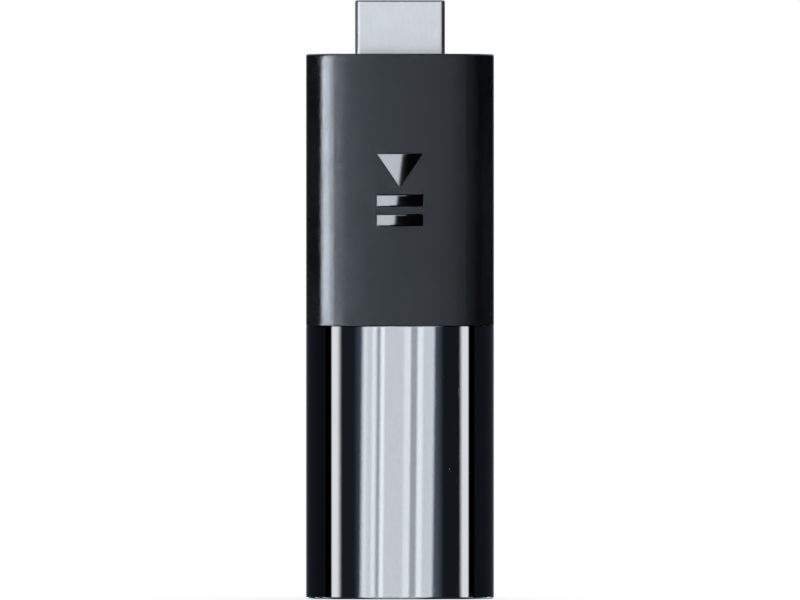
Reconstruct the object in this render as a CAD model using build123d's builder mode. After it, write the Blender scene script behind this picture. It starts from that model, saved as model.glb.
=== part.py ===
from build123d import *
import os

# Streaming media player stick: a matte casing in two halves, a glossy lower sleeve, a video plug and
# the board inside. Units are millimetres. X is the width, Y the depth and Z the length. The front face
# looks along -Y, the plug points along +Z, and the origin is the centre of the flat lower end.

# ---------------------------------------------------------------- driving dimensions
BODY_W = 29.0
BODY_D = 15.2
BODY_L = 84.1
JOINT_Z = BODY_L / 2  # where the matte casing meets the glossy sleeve
CROWN_R = 60.0  # the gentle bulge of the front and rear faces
CORNER_R = 5.2  # the long rounded edges
END_ROUND = 0.3
EDGE_BREAK = 0.1

SLEEVE_WALL = 0.9
SLEEVE_FLOOR = 1.6
COVER_WALL = 1.5
NECK_WALL = 0.95
SHOULDER_T = 1.6  # end wall around the plug
LIP_T = 0.5  # the front cover's lip, inside the rear cover's wall
LIP_REACH = 0.6
RIDGE_PROUD = 0.3  # snap ridges on the neck
RIDGE_Z = 35.5
BUMP_ZS = (50.0, 66.0)  # snap bumps on the lip
SADDLE_Z = 78.3  # rib that carries the plug
SADDLE_T = 1.2
FIT = 0.05  # clearance between moulded parts that slide together
SEAM = 0.08  # visible gap between outer parts
CONTACT = 0.02  # clearance between parts that rest on each other
SPARE = 1.0  # how far a cutting shape runs past the face it cuts

PLUG_W = 13.9
PLUG_H = 4.45
PLUG_REACH = 8.3  # how far the plug stands out of the shoulder
PLUG_TAIL = 7.3  # how far its shell runs back inside
PLUG_SHEET = 0.3
PLUG_SIDE = 2.4  # height of the plug's straight sides
PLUG_FOOT = 10.2  # width of the plug's narrow face
PLUG_ROUND = 0.8
PLUG_LIP = 0.25  # rounding of the mouth's rim
PLUG_PITCH = 1.0
SLOT_FRONT = -1.25  # the slot of the plug's insulator, front and rear walls
SLOT_REAR = 0.74
SLOT_W = 11.8
SLOT_L = 7.0
INSULATOR_L = 14.9
PIN_T = 0.18  # sheet of the plug's contacts
PIN_W = 0.45
FRONT_PINS = 10
REAR_PINS = 9
LEG_L = 3.0  # side legs of the plug's shell
LEG_H = 1.3

BOARD_T = 1.0
BOARD_W = 24.2
BOARD_BOTTOM = 3.0
BOARD_TOP = 76.6
BOARD_ROUND = 1.0
POST_X = 10.3  # guide posts through the board
POST_ZS = (7.0, 70.5)
POST_R = 0.6
POST_ROOT = 0.5  # hidden in the front boss
POST_REACH = 2.0  # past the board, into the rear boss
BOSS_R = 1.2

PORT_Z = 18.0  # the power port, in the left side
PORT_W = 7.5
PORT_H = 2.5
PORT_SIDE = 1.4
PORT_FOOT = 5.4
PORT_ROUND = 0.35
PORT_LENGTH = 5.0
PORT_SHEET = 0.3
PORT_PITCH = 0.65
PORT_STRIPS = 5
PORT_GAP = 0.1  # clearance of the port in the covers
MOUTH_W = 8.2  # the sleeve's opening for the port
MOUTH_H = 3.0
MOUTH_ROUND = 0.8
TONGUE_Y = 0.2
TONGUE_T = 0.6
TONGUE_W = 3.9
TONGUE_L = 4.1
PORT_BACK_L = 1.1
STRIP_T = 0.12
STRIP_W = 0.3
STRIP_TAIL = 1.1
STRIP_SET_BACK = 0.4
WING_INNER = 3.05  # solder wings, measured from the middle of the port
WING_OUTER = 4.8
WING_L = 1.4
WING_T = 0.25

LIGHT_Z = 27.5  # the status light, above the port
LIGHT_Y = -0.85
LIGHT_R = 0.5
LIGHT_BORE = 2.5  # depth of the light pipe's bore through the wall and the lip
PINHOLE_R = 0.4
PIPE_HEAD_R = 0.7
PIPE_HEAD_T = 0.33

EMBLEM_W = 7.1
EMBLEM_Z = 63.1
EMBLEM_H = 11.2
EMBLEM_BAR = 1.9
EMBLEM_GAP = 1.1
EMBLEM_PROUD = 0.05
EMBLEM_DEEP = 0.25

SHIELD_W = 19.0
SHIELD_SHEET = 0.2
FRAME_H = 1.9
CAN_H = 1.8
FRONT_SHIELD_Z = 54.5
FRONT_SHIELD_L = 24.0
REAR_SHIELD_Z = 51.5
REAR_SHIELD_L = 20.0
PAD_T = 1.25
SPREADER_T = 1.0
SPREADER_W = 18.4
SPREADER_L = 23.0
SPREADER_Z = 56.5
STAKE_XS = (-7.6, 7.6)
STAKE_ZS = (47.5, 65.5)
STAKE_R = 0.6
STAKE_FOOT_R = 1.1
STAKE_REACH = 0.4  # past the spreader

MARK_DEEP = 0.08  # pin-one marks on the chips
CHIP_W = 11.0
CHIP_H = 1.0
CHIP_Z = 49.5
MEMORY_W = 8.0
MEMORY_L = 9.4
MEMORY_H = 0.9
MEMORY_X = 4.5
MEMORY_Z = 60.8
STORAGE_W = 11.5
STORAGE_L = 13.0
STORAGE_H = 0.9
LID_SKIRT = 1.2
LID_GAP = 0.05  # between the lid's skirt and its frame
VENT_R = 0.5
CHIP_PAD = 10.0
LID_PAD_W = 12.0
LID_PAD_L = 18.0
REAR_PAD_W = 12.0
REAR_PAD_L = 16.0
WIRELESS_Z = 31.5
WIRELESS_W = 12.0
WIRELESS_L = 13.0
WIRELESS_T = 0.6
WIRELESS_CAN_H = 1.3
WIRELESS_SHEET = 0.15
SOCKET_Z = 20.5
SOCKET_W = 2.6
SOCKET_T = 0.35
SOCKET_R = 1.0
SOCKET_H = 1.3
CABLE_R = 0.4
ANTENNA_Z = 4.2
ANTENNA_W = 17.0
ANTENNA_L = 8.0
ANTENNA_T = 0.15

# ---------------------------------------------------------------- derived positions
SIDE_X = BODY_W / 2
NECK_INSET = SLEEVE_WALL + FIT
NECK_INNER = NECK_INSET + NECK_WALL
NECK_BOTTOM = SLEEVE_FLOOR + FIT
NECK_TOP = JOINT_Z + 1.5
PLUG_TIP = BODY_L + PLUG_REACH
PLUG_BACK = BODY_L - PLUG_TAIL
BOARD_Y = BOARD_T / 2
POST_SPOTS = [(x, z) for x in (-POST_X, POST_X) for z in POST_ZS]
STAKE_SPOTS = [(x, z) for x in STAKE_XS for z in STAKE_ZS]
LID_Y = BOARD_Y + FRAME_H + 2 * CONTACT + SHIELD_SHEET
CAN_Y = BOARD_Y + CAN_H + CONTACT
SPREADER_Y = LID_Y + PAD_T + 2 * CONTACT
PORT_BACK_X = PORT_LENGTH + FIT - SIDE_X + NECK_INSET
STRIP_Y = TONGUE_Y + TONGUE_T / 2 + CONTACT + STRIP_T / 2
PIN_TIP = PLUG_TIP - 1.4
PIN_END = BOARD_TOP - 1.8
LEG_X = (PLUG_W - PLUG_SHEET) / 2
MEMORY_SPOTS = [(-MEMORY_X, MEMORY_Z), (MEMORY_X, MEMORY_Z)]

FRONT = Plane(origin=(0, 0, 0), x_dir=(1, 0, 0), z_dir=(0, -1, 0))
REAR = Plane(origin=(0, 0, 0), x_dir=(-1, 0, 0), z_dir=(0, 1, 0))
FRONT_OF_BOARD = FRONT.offset(BOARD_Y + CONTACT)
REAR_OF_BOARD = REAR.offset(BOARD_Y + CONTACT)
BOARD_REAR = FRONT.offset(-BOARD_Y)
LEFT_SIDE = Plane.YZ.offset(-SIDE_X)
PORT_BACK = Plane(origin=(PORT_BACK_X, 0, PORT_Z), x_dir=(0, 0, 1), z_dir=(-1, 0, 0))


# ---------------------------------------------------------------- shared shapes
def body_outline(z, inset=0.0):
    """The stick's cross-section at height z, moved inwards by inset all round."""
    half_w = SIDE_X - inset
    half_d = BODY_D / 2 - inset
    crown_r = CROWN_R - inset
    corner_y = half_d - crown_r + (crown_r**2 - half_w**2) ** 0.5
    with BuildSketch(Plane.XY.offset(z)) as outline:
        with BuildLine():
            ThreePointArc((-half_w, -corner_y), (0, -half_d), (half_w, -corner_y))
            Line((half_w, -corner_y), (half_w, corner_y))
            ThreePointArc((half_w, corner_y), (0, half_d), (-half_w, corner_y))
            Line((-half_w, corner_y), (-half_w, -corner_y))
        make_face()
        fillet(outline.vertices(), CORNER_R - inset)
    return outline.sketch


def connector_outline(plane, width, height, side, foot, rounding, grow=0.0):
    """A six-sided connector cross-section, wide face to the front, moved outwards by grow all round."""
    bend = side - height / 2
    with BuildSketch(plane) as outline:
        with BuildLine():
            Polyline(
                (-width / 2, -height / 2),
                (width / 2, -height / 2),
                (width / 2, bend),
                (foot / 2, height / 2),
                (-foot / 2, height / 2),
                (-width / 2, bend),
                close=True,
            )
        make_face()
        fillet(outline.vertices(), rounding)
        if grow:
            offset(amount=grow)
    return outline.sketch


def plug_outline(z, grow=0.0):
    """The video plug's cross-section at height z."""
    return connector_outline(Plane.XY.offset(z), PLUG_W, PLUG_H, PLUG_SIDE, PLUG_FOOT, PLUG_ROUND, grow)


def port_outline(depth, grow=0.0):
    """The power port's cross-section, at a distance depth outwards from its back."""
    plane = PORT_BACK.offset(depth)
    return connector_outline(plane, PORT_W, PORT_H, PORT_SIDE, PORT_FOOT, PORT_ROUND, grow)


def rectangles(plane, spots, width, length, rounding=0.0):
    """Equal rectangles on a plane that faces front or rear, centred on the (x, z) spots."""
    with BuildSketch(plane) as marks:
        with Locations(*[(x * plane.x_dir.X, z) for x, z in spots]):
            if rounding:
                RectangleRounded(width, length, rounding)
            else:
                Rectangle(width, length)
    return marks.sketch


def circles(plane, spots, radius):
    """Equal circles on a plane that faces front or rear, centred on the (x, z) spots."""
    with BuildSketch(plane) as marks:
        with Locations(*[(x * plane.x_dir.X, z) for x, z in spots]):
            Circle(radius)
    return marks.sketch


def snap_ridges(spare=0.0):
    """Short ridges across the front and rear of the neck; spare widens them into the sleeve's pockets."""
    ridge_x = 5.5
    ridge_w = 5.0
    ridge_h = 0.9
    with BuildPart() as ridges:
        with Locations((-ridge_x, 0, RIDGE_Z), (ridge_x, 0, RIDGE_Z)):
            Box(ridge_w + 2 * spare, BODY_D, ridge_h + 2 * spare)
        reach = body_outline(RIDGE_Z - ridge_h, NECK_INSET - RIDGE_PROUD - spare)
        extrude(reach, amount=2 * ridge_h, mode=Mode.INTERSECT)
    return ridges.part


def side_lip(spare=0.0):
    """The lip that crosses the parting plane along the side walls; spare widens it into its groove."""
    neck_l = NECK_TOP - NECK_BOTTOM
    upper_l = BODY_L - SHOULDER_T - NECK_TOP
    with BuildPart() as lip:
        extrude(body_outline(NECK_BOTTOM, NECK_INNER - LIP_T - spare), amount=neck_l)
        extrude(body_outline(NECK_BOTTOM, NECK_INNER), amount=neck_l, mode=Mode.SUBTRACT)
        extrude(body_outline(NECK_TOP, COVER_WALL - LIP_T - spare), amount=upper_l)
        extrude(body_outline(NECK_TOP, COVER_WALL), amount=upper_l, mode=Mode.SUBTRACT)
        with Locations((0, 0, BODY_L / 2)):
            Box(BODY_W, 2 * (LIP_REACH + spare), BODY_L, mode=Mode.INTERSECT)
    return lip.part


def snap_bumps(spare=0.0):
    """Bumps on the outside of the lip that hold the two covers together."""
    bump_w = 0.5
    bump_d = 0.25
    bump_l = 4.0
    bump_y = 0.35
    bump_x = SIDE_X - COVER_WALL + bump_w
    spots = [(side * bump_x, bump_y, z) for side in (-1, 1) for z in BUMP_ZS]
    with BuildPart() as bumps:
        with Locations(*spots):
            Box(bump_w + 2 * spare, bump_d + 2 * spare, bump_l + 2 * spare)
    return bumps.part


def emblem_marks(grow=0.0):
    """Prisms for the play-and-pause symbol: a triangle pointing down the stick over two bars."""
    top = EMBLEM_Z + EMBLEM_H / 2
    bottom = EMBLEM_Z - EMBLEM_H / 2
    triangle_bottom = bottom + 2 * EMBLEM_BAR + 2 * EMBLEM_GAP
    bar_z = bottom + EMBLEM_BAR / 2
    with BuildPart() as marks:
        with BuildSketch(FRONT):
            with BuildLine():
                Polyline((-EMBLEM_W / 2, top), (EMBLEM_W / 2, top), (0, triangle_bottom), close=True)
            make_face()
            with Locations((0, bar_z), (0, bar_z + EMBLEM_BAR + EMBLEM_GAP)):
                Rectangle(EMBLEM_W, EMBLEM_BAR)
            if grow:
                offset(amount=grow, kind=Kind.INTERSECTION)
        extrude(amount=BODY_D)
    return marks.part


def emblem_layer(proud, deep, grow=0.0):
    """The symbol cut from a layer of the front face, from proud of the face to deep below it."""
    bottom = EMBLEM_Z - EMBLEM_H
    with BuildPart() as layer:
        extrude(body_outline(bottom, -proud), amount=2 * EMBLEM_H)
        extrude(body_outline(bottom, deep), amount=2 * EMBLEM_H, mode=Mode.SUBTRACT)
        add(emblem_marks(grow), mode=Mode.INTERSECT)
    return layer.part


def open_box(plane, spot, width, length, height, sheet, rounding):
    """A thin rectangular can on a plane that faces front or rear, open towards the plane."""
    corner = rounding - sheet
    with BuildPart() as can:
        extrude(rectangles(plane, [spot], width, length, rounding), amount=height)
        core = rectangles(plane, [spot], width - 2 * sheet, length - 2 * sheet, corner)
        extrude(core, amount=height - sheet, mode=Mode.SUBTRACT)
    return can.part


def marked_chips(plane, spots, width, length, height, mark_shift, mark_r):
    """Moulded chips on a plane that faces front or rear, each with a round pin-one mark."""
    with BuildPart() as chips:
        extrude(rectangles(plane, spots, width, length), amount=height)
        mark_spots = [(x + mark_shift[0], z + mark_shift[1]) for x, z in spots]
        marks = circles(plane.offset(height - MARK_DEEP), mark_spots, mark_r)
        extrude(marks, amount=height, mode=Mode.SUBTRACT)
    return chips.part


def heat_spreader(side):
    """An aluminium plate on the inside of one cover, with holes for the stakes."""
    with BuildPart() as plate:
        outline = rectangles(side.offset(SPREADER_Y), [(0, SPREADER_Z)], SPREADER_W, SPREADER_L, 1.5)
        extrude(outline, amount=SPREADER_T)
        holes = circles(side.offset(SPREADER_Y), STAKE_SPOTS, STAKE_R + FIT)
        extrude(holes, amount=SPREADER_T, mode=Mode.SUBTRACT)
    return plate.part


def save(piece, name):
    """Labels a finished piece and writes it as parts/NAME.step."""
    piece.part.label = name
    export_step(piece.part, f"parts/{name}.step")


os.makedirs("parts", exist_ok=True)

# ---------------------------------------------------------------- casing
# The space inside the two covers, with the bosses, stakes and plug saddle standing in it.
with BuildPart() as hollow:
    extrude(body_outline(NECK_BOTTOM, NECK_INNER), amount=NECK_TOP - NECK_BOTTOM)
    extrude(body_outline(NECK_TOP, COVER_WALL), amount=BODY_L - SHOULDER_T - NECK_TOP)
    extrude(body_outline(SADDLE_Z), amount=SADDLE_T, mode=Mode.SUBTRACT)
    for side in (FRONT, REAR):
        boss_plane = side.offset(BOARD_Y + CONTACT)
        extrude(circles(boss_plane, POST_SPOTS, BOSS_R), amount=BODY_D, mode=Mode.SUBTRACT)
        foot_plane = side.offset(SPREADER_Y + SPREADER_T + CONTACT)
        extrude(circles(foot_plane, STAKE_SPOTS, STAKE_FOOT_R), amount=BODY_D, mode=Mode.SUBTRACT)
        tip_plane = side.offset(SPREADER_Y - STAKE_REACH)
        extrude(circles(tip_plane, STAKE_SPOTS, STAKE_R), amount=BODY_D, mode=Mode.SUBTRACT)

# Both covers together, before they are parted.
with BuildPart() as casing:
    extrude(body_outline(JOINT_Z + SEAM / 2), amount=BODY_L - JOINT_Z - SEAM / 2)
    fillet(casing.faces().sort_by(Axis.Z)[-1].edges(), END_ROUND)
    chamfer(casing.faces().sort_by(Axis.Z)[0].edges(), EDGE_BREAK)
    extrude(body_outline(NECK_BOTTOM, NECK_INSET), amount=NECK_TOP - NECK_BOTTOM)
    add(snap_ridges())
    add(hollow.part, mode=Mode.SUBTRACT)
    extrude(plug_outline(SADDLE_Z - SPARE, FIT), amount=BODY_L, mode=Mode.SUBTRACT)

with BuildPart() as front_cover:
    add(casing.part)
    split(bisect_by=FRONT.offset(SEAM / 2), keep=Keep.TOP)
    add(side_lip())
    add(snap_bumps())
    post_plane = REAR.offset(-BOARD_Y - CONTACT - POST_ROOT)
    extrude(circles(post_plane, POST_SPOTS, POST_R), amount=POST_ROOT + BOARD_T + POST_REACH)
    extrude(port_outline(0, PORT_GAP), amount=SIDE_X, mode=Mode.SUBTRACT)
    with BuildSketch(LEFT_SIDE):
        with Locations((LIGHT_Y, LIGHT_Z)):
            Circle(LIGHT_R + CONTACT)
    extrude(amount=LIGHT_BORE, mode=Mode.SUBTRACT)
    add(emblem_layer(SPARE, EMBLEM_DEEP + CONTACT, CONTACT), mode=Mode.SUBTRACT)

with BuildPart() as rear_cover:
    add(casing.part)
    split(bisect_by=FRONT.offset(-SEAM / 2), keep=Keep.BOTTOM)
    add(side_lip(spare=FIT), mode=Mode.SUBTRACT)
    add(snap_bumps(spare=FIT), mode=Mode.SUBTRACT)
    post_bore_l = BOARD_Y + POST_REACH + POST_ROOT
    extrude(circles(REAR, POST_SPOTS, POST_R + FIT), amount=post_bore_l, mode=Mode.SUBTRACT)
    extrude(port_outline(0, PORT_GAP), amount=SIDE_X, mode=Mode.SUBTRACT)

with BuildPart() as gloss_sleeve:
    extrude(body_outline(0), amount=JOINT_Z - SEAM / 2)
    fillet(gloss_sleeve.faces().sort_by(Axis.Z)[0].edges(), END_ROUND)
    chamfer(gloss_sleeve.faces().sort_by(Axis.Z)[-1].edges(), EDGE_BREAK)
    extrude(body_outline(SLEEVE_FLOOR, SLEEVE_WALL), amount=JOINT_Z, mode=Mode.SUBTRACT)
    add(snap_ridges(spare=FIT), mode=Mode.SUBTRACT)
    with BuildSketch(LEFT_SIDE):
        with Locations((0, PORT_Z)):
            RectangleRounded(MOUTH_H, MOUTH_W, MOUTH_ROUND)
        with Locations((LIGHT_Y, LIGHT_Z)):
            Circle(PINHOLE_R)
    extrude(amount=2 * SLEEVE_WALL, mode=Mode.SUBTRACT)
    outer_rims = gloss_sleeve.edges().filter_by_position(Axis.X, -SIDE_X - CONTACT, -SIDE_X + CONTACT)
    chamfer(outer_rims.filter_by_position(Axis.Z, PORT_Z - MOUTH_W / 2, PORT_Z + MOUTH_W / 2), EDGE_BREAK)

with BuildPart() as front_emblem:
    add(emblem_layer(EMBLEM_PROUD, EMBLEM_DEEP))

# ---------------------------------------------------------------- video plug
with BuildPart() as hdmi_shell:
    extrude(plug_outline(PLUG_BACK), amount=PLUG_TIP - PLUG_BACK)
    fillet(hdmi_shell.faces().sort_by(Axis.Z)[-1].edges(), PLUG_LIP)
    extrude(plug_outline(PLUG_BACK, -PLUG_SHEET), amount=PLUG_TIP - PLUG_BACK, mode=Mode.SUBTRACT)
    # the folded sheet meets in a fine seam down the rear face, locked by two dovetails
    seam_w = 0.06
    tail_root = 0.9
    tail_tip = 1.4
    tail_h = 0.8
    seam_points = [(0, PLUG_BACK - SPARE)]
    for tail_z in (PLUG_BACK + 4.0, PLUG_TIP - 3.0):
        seam_points += [(0, tail_z - tail_root), (tail_h, tail_z - tail_tip)]
        seam_points += [(tail_h, tail_z + tail_tip), (0, tail_z + tail_root)]
    seam_points += [(0, PLUG_TIP + SPARE)]
    with BuildSketch(REAR.offset(PLUG_H / 2 - 2 * PLUG_SHEET)):
        with BuildLine():
            Polyline(*seam_points)
        trace(line_width=seam_w)
    extrude(amount=PLUG_H, mode=Mode.SUBTRACT)
    # side legs soldered into the slots of the board
    leg_y = 0.1 - LEG_H / 2
    with Locations((-LEG_X, leg_y, PLUG_BACK), (LEG_X, leg_y, PLUG_BACK)):
        Box(PLUG_SHEET, LEG_H, LEG_L, align=(Align.CENTER, Align.CENTER, Align.MAX))

with BuildPart() as hdmi_insulator:
    extrude(plug_outline(PLUG_BACK, -PLUG_SHEET - CONTACT), amount=INSULATOR_L)
    with BuildSketch(Plane.XY.offset(PLUG_BACK + INSULATOR_L)):
        with Locations((0, (SLOT_FRONT + SLOT_REAR) / 2)):
            Rectangle(SLOT_W, SLOT_REAR - SLOT_FRONT)
    extrude(amount=-SLOT_L, mode=Mode.SUBTRACT)
    with BuildSketch(Plane.XY.offset(PLUG_BACK)):
        with Locations((0, SLOT_FRONT + PIN_T / 2 + CONTACT)):
            with GridLocations(PLUG_PITCH, 0, FRONT_PINS, 1):
                Rectangle(PIN_W + 2 * CONTACT, PIN_T + 2 * CONTACT)
        with Locations((0, SLOT_REAR - PIN_T / 2 - CONTACT)):
            with GridLocations(PLUG_PITCH, 0, REAR_PINS, 1):
                Rectangle(PIN_W + 2 * CONTACT, PIN_T + 2 * CONTACT)
    extrude(amount=PLUG_TAIL + PLUG_REACH, mode=Mode.SUBTRACT)

# each front pin steps down from the slot's wall to its pad on the board
with BuildPart() as hdmi_front_contacts:
    outer_y = SLOT_FRONT + CONTACT
    solder_y = -BOARD_Y - CONTACT
    bend_top = BOARD_TOP + 0.1
    bend_bottom = BOARD_TOP - 0.35
    bend_shift = 0.05  # keeps the sheet's thickness through the bend
    for step in range(FRONT_PINS):
        with BuildSketch(Plane.YZ.offset((step - (FRONT_PINS - 1) / 2) * PLUG_PITCH)):
            with BuildLine():
                Polyline(
                    (outer_y, PIN_TIP),
                    (outer_y + PIN_T, PIN_TIP),
                    (outer_y + PIN_T, bend_top + bend_shift),
                    (solder_y, bend_bottom + bend_shift),
                    (solder_y, PIN_END),
                    (solder_y - PIN_T, PIN_END),
                    (solder_y - PIN_T, bend_bottom),
                    (outer_y, bend_top),
                    close=True,
                )
            make_face()
        extrude(amount=PIN_W / 2, both=True)

with BuildPart() as hdmi_rear_contacts:
    with Locations((0, SLOT_REAR - CONTACT - PIN_T / 2, (PIN_TIP + PIN_END) / 2)):
        with GridLocations(PLUG_PITCH, 0, REAR_PINS, 1):
            Box(PIN_W, PIN_T, PIN_TIP - PIN_END)

# ---------------------------------------------------------------- power port
with BuildPart() as usb_shell:
    extrude(port_outline(0), amount=PORT_LENGTH)
    extrude(port_outline(0, -PORT_SHEET), amount=PORT_LENGTH, mode=Mode.SUBTRACT)
    wing_x = PORT_BACK_X - PORT_LENGTH / 2
    wing_y = BOARD_Y + CONTACT + WING_T / 2
    wing_shift = (WING_INNER + WING_OUTER) / 2
    with Locations((wing_x, wing_y, PORT_Z - wing_shift), (wing_x, wing_y, PORT_Z + wing_shift)):
        Box(WING_L, WING_T, WING_OUTER - WING_INNER)

with BuildPart() as usb_insulator:
    extrude(port_outline(0, -PORT_SHEET - CONTACT), amount=PORT_BACK_L)
    with BuildSketch(PORT_BACK):
        with Locations((0, TONGUE_Y)):
            Rectangle(TONGUE_W, TONGUE_T)
    extrude(amount=TONGUE_L)
    with BuildSketch(PORT_BACK):
        with Locations((0, STRIP_Y)):
            with GridLocations(PORT_PITCH, 0, PORT_STRIPS, 1):
                Rectangle(STRIP_W + 2 * CONTACT, STRIP_T + 2 * CONTACT)
    extrude(amount=PORT_LENGTH, mode=Mode.SUBTRACT)

with BuildPart() as usb_contacts:
    with BuildSketch(PORT_BACK.offset(-STRIP_TAIL)):
        with Locations((0, STRIP_Y)):
            with GridLocations(PORT_PITCH, 0, PORT_STRIPS, 1):
                Rectangle(STRIP_W, STRIP_T)
    extrude(amount=STRIP_TAIL + TONGUE_L - STRIP_SET_BACK)

# ---------------------------------------------------------------- main board
with BuildPart() as main_board:
    board_mid = (BOARD_BOTTOM + BOARD_TOP) / 2
    board = rectangles(BOARD_REAR, [(0, board_mid)], BOARD_W, BOARD_TOP - BOARD_BOTTOM, BOARD_ROUND)
    extrude(board, amount=BOARD_T)
    post_hole_r = POST_R + 0.1
    extrude(circles(BOARD_REAR, POST_SPOTS, post_hole_r), amount=BOARD_T, mode=Mode.SUBTRACT)
    # slots for the plug's legs
    leg_slot_w = 2 * PLUG_SHEET
    leg_slot_l = LEG_L + 0.2
    leg_spots = [(-LEG_X, BOARD_TOP), (LEG_X, BOARD_TOP)]
    leg_slots = rectangles(BOARD_REAR, leg_spots, leg_slot_w, 2 * leg_slot_l)
    extrude(leg_slots, amount=BOARD_T, mode=Mode.SUBTRACT)
    # bay for the sunken power port
    bay_gap = 0.15
    bay_w = PORT_BACK_X + BOARD_W / 2 + bay_gap
    bay = rectangles(BOARD_REAR, [(-BOARD_W / 2, PORT_Z)], 2 * bay_w, PORT_W + 0.2)
    extrude(bay, amount=BOARD_T, mode=Mode.SUBTRACT)

with BuildPart() as system_chip:
    add(marked_chips(FRONT_OF_BOARD, [(0, CHIP_Z)], CHIP_W, CHIP_W, CHIP_H, (-4.3, 4.3), 0.4))

with BuildPart() as memory_chips:
    add(marked_chips(FRONT_OF_BOARD, MEMORY_SPOTS, MEMORY_W, MEMORY_L, MEMORY_H, (-3.0, 3.7), 0.35))

with BuildPart() as storage_chip:
    storage_spot = (0, REAR_SHIELD_Z)
    add(marked_chips(REAR_OF_BOARD, [storage_spot], STORAGE_W, STORAGE_L, STORAGE_H, (4.6, 5.3), 0.4))

with BuildPart() as front_shield_frame:
    frame_spot = (0, FRONT_SHIELD_Z)
    inner_w = SHIELD_W - 2 * SHIELD_SHEET
    inner_l = FRONT_SHIELD_L - 2 * SHIELD_SHEET
    extrude(rectangles(FRONT_OF_BOARD, [frame_spot], SHIELD_W, FRONT_SHIELD_L, 0.8), amount=FRAME_H)
    core = rectangles(FRONT_OF_BOARD, [frame_spot], inner_w, inner_l, 0.6)
    extrude(core, amount=FRAME_H, mode=Mode.SUBTRACT)

with BuildPart() as front_shield_lid:
    lid_w = SHIELD_W + 2 * SHIELD_SHEET + 2 * LID_GAP
    lid_l = FRONT_SHIELD_L + 2 * SHIELD_SHEET + 2 * LID_GAP
    lid_h = LID_SKIRT + SHIELD_SHEET
    lid_spot = (0, FRONT_SHIELD_Z)
    add(open_box(FRONT.offset(LID_Y - lid_h), lid_spot, lid_w, lid_l, lid_h, SHIELD_SHEET, 1.0))
    vent_spots = [(x, FRONT_SHIELD_Z + z) for x in (-7.5, 7.5) for z in (-9, -6, 6, 9)]
    vents = circles(FRONT.offset(LID_Y - SHIELD_SHEET), vent_spots, VENT_R)
    extrude(vents, amount=SHIELD_SHEET, mode=Mode.SUBTRACT)

with BuildPart() as rear_shield_can:
    can_spot = (0, REAR_SHIELD_Z)
    add(open_box(REAR_OF_BOARD, can_spot, SHIELD_W, REAR_SHIELD_L, CAN_H, SHIELD_SHEET, 0.8))

# ---------------------------------------------------------------- cooling
with BuildPart() as chip_thermal_pad:
    chip_top = BOARD_Y + CHIP_H + 2 * CONTACT
    chip_pad = rectangles(FRONT.offset(chip_top), [(0, CHIP_Z)], CHIP_PAD, CHIP_PAD)
    extrude(chip_pad, amount=LID_Y - SHIELD_SHEET - CONTACT - chip_top)

with BuildPart() as lid_thermal_pad:
    lid_pad = rectangles(FRONT.offset(LID_Y + CONTACT), [(0, SPREADER_Z)], LID_PAD_W, LID_PAD_L)
    extrude(lid_pad, amount=PAD_T)

with BuildPart() as rear_thermal_pad:
    rear_pad = rectangles(REAR.offset(CAN_Y + CONTACT), [(0, REAR_SHIELD_Z)], REAR_PAD_W, REAR_PAD_L)
    extrude(rear_pad, amount=SPREADER_Y - CAN_Y - 2 * CONTACT)

with BuildPart() as front_heat_spreader:
    add(heat_spreader(FRONT))

with BuildPart() as rear_heat_spreader:
    add(heat_spreader(REAR))

# ---------------------------------------------------------------- wireless
with BuildPart() as wireless_board:
    extrude(rectangles(REAR_OF_BOARD, [(0, WIRELESS_Z)], WIRELESS_W, WIRELESS_L), amount=WIRELESS_T)

with BuildPart() as wireless_can:
    can_plane = REAR_OF_BOARD.offset(WIRELESS_T + CONTACT)
    can_margin = 0.8
    can_w = WIRELESS_W - can_margin
    can_l = WIRELESS_L - can_margin
    add(open_box(can_plane, (0, WIRELESS_Z), can_w, can_l, WIRELESS_CAN_H, WIRELESS_SHEET, 0.6))

with BuildPart() as antenna_connector:
    extrude(rectangles(REAR_OF_BOARD, [(0, SOCKET_Z)], SOCKET_W, SOCKET_W), amount=SOCKET_T)
    extrude(circles(REAR_OF_BOARD, [(0, SOCKET_Z)], SOCKET_R), amount=SOCKET_H)

# the cable runs down from the connector and out to the antenna on the rear wall
with BuildPart() as antenna_cable:
    cable_start = (0, BOARD_Y + SOCKET_R, SOCKET_Z - SOCKET_R - 0.1)
    cable_bend = (0, 3.4, 15.8)
    cable_end = (0, 5.05, 10.5)
    with BuildLine():
        run = Spline(cable_start, cable_bend, cable_end, tangents=((0, 0, -1), (0, 0, -1)))
    with BuildSketch(Plane(origin=cable_start, x_dir=(1, 0, 0), z_dir=(0, 0, -1))):
        Circle(CABLE_R)
    sweep(path=run)

with BuildPart() as wifi_antenna:
    with Locations((0, 0, ANTENNA_Z)):
        Box(ANTENNA_W, BODY_D, ANTENNA_L, align=(Align.CENTER, Align.MIN, Align.MIN))
    extrude(body_outline(0, NECK_INNER + CONTACT), amount=JOINT_Z, mode=Mode.INTERSECT)
    extrude(body_outline(0, NECK_INNER + CONTACT + ANTENNA_T), amount=JOINT_Z, mode=Mode.SUBTRACT)

with BuildPart() as bluetooth_antenna:
    extrude(rectangles(FRONT_OF_BOARD, [(0, 5.2)], 5.2, 2.0), amount=1.1)

# ---------------------------------------------------------------- small board components
with BuildPart() as power_chip:
    power_chip_w = 3.5
    extrude(rectangles(FRONT_OF_BOARD, [(0, 33.5)], power_chip_w, power_chip_w), amount=0.8)

with BuildPart() as power_inductors:
    coil_w = 3.2
    coil_spots = [(-6.2, 33.5), (6.2, 33.5), (6.2, 28.5)]
    extrude(rectangles(FRONT_OF_BOARD, coil_spots, coil_w, coil_w, 0.5), amount=1.6)

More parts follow.
